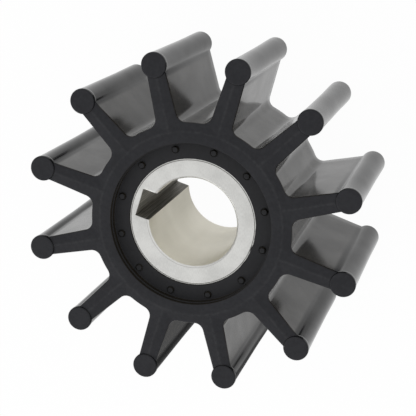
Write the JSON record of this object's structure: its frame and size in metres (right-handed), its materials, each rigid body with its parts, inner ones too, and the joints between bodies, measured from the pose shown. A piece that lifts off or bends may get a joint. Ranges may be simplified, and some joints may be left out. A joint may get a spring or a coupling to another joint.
{
  "type": "pump impeller",
  "caption": "Flexible pump impeller: rubber hub with straight radial vanes and round bulb tips, bonded round a metal bush with a keyed bore.",
  "frame": {"origin": "on the shaft's axis, in the plane of the lower bulb ends that it stands on", "axes": "+Z along the shaft's axis, up through the face with the gate pips; +X through the keyway and the vane in line with it"},
  "size_m": [0.0952, 0.0952, 0.047],
  "materials": {
    "rubber": "smooth moulded black rubber, matt on the end faces and semi-gloss on the vanes",
    "bush_metal": "fine turned face and bored hole, bright edges"
  },
  "bodies": {
    "root": {"rubber_moulding": "rubber", "metal_bush": "bush_metal"}
  },
  "joints": []
}
